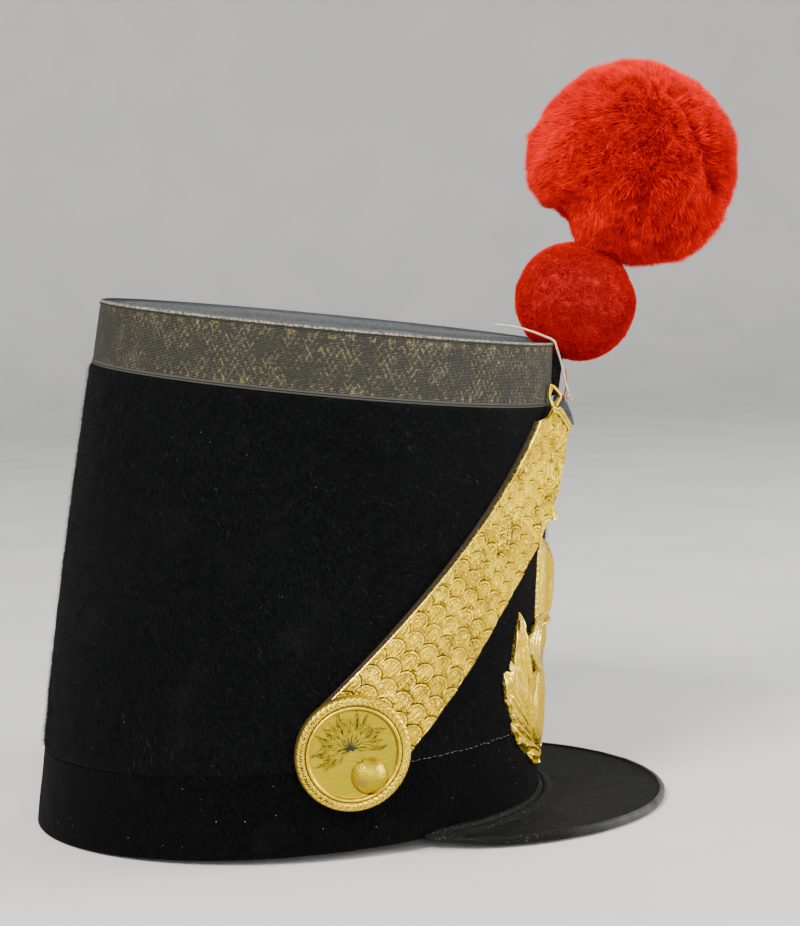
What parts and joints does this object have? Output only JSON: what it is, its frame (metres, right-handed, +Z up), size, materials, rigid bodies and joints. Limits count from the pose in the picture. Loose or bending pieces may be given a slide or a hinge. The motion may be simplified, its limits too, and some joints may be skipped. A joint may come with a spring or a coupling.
{
  "type": "shako hat",
  "caption": "Tall felt shako with a leather peak, lace and velvet bands, a crowned front plate, gilt chin scales hooked up to the front and red wool pompoms.",
  "frame": {"origin": "on the surface that the hat rests on, under the middle of its bounding box", "axes": "the front of the hat faces -Y, the wearer's left is +X, up is +Z"},
  "size_m": [0.2016, 0.2984, 0.3046],
  "materials": {
    "black_felt": "brushed plush",
    "worn_felt": "worn felt",
    "gold_lace": "woven lace with dull gold threads",
    "black_velvet": "velvet",
    "black_leather": "waxed",
    "brown_leather": "raw edge",
    "gilt_brass": "gilt, stamped",
    "red_wool": "clipped wool",
    "cream_string": "twisted cotton"
  },
  "bodies": {
    "root": {"felt_body": "black_felt", "crown_top": "worn_felt", "lace_band": "gold_lace", "velvet_band": "black_velvet", "peak": "black_leather", "front_plate": "gilt_brass", "cockade_loop": "gilt_brass", "loop_button": "gilt_brass", "rosette_right": "gilt_brass", "rosette_left": "gilt_brass", "chin_scales_right": "gilt_brass", "chin_scales_left": "gilt_brass", "strap_lining_right": "brown_leather", "strap_lining_left": "brown_leather", "strap_tip_right": "gilt_brass", "strap_tip_left": "gilt_brass", "hook_ring_right": "gilt_brass", "hook_ring_left": "gilt_brass", "hook_tab": "black_leather", "pompom_holder": "black_leather", "pompom_wire": "black_leather", "pompom_small": "red_wool", "pompom_large": "red_wool", "tie_string": "cream_string", "string_knot": "cream_string"}
  },
  "joints": []
}
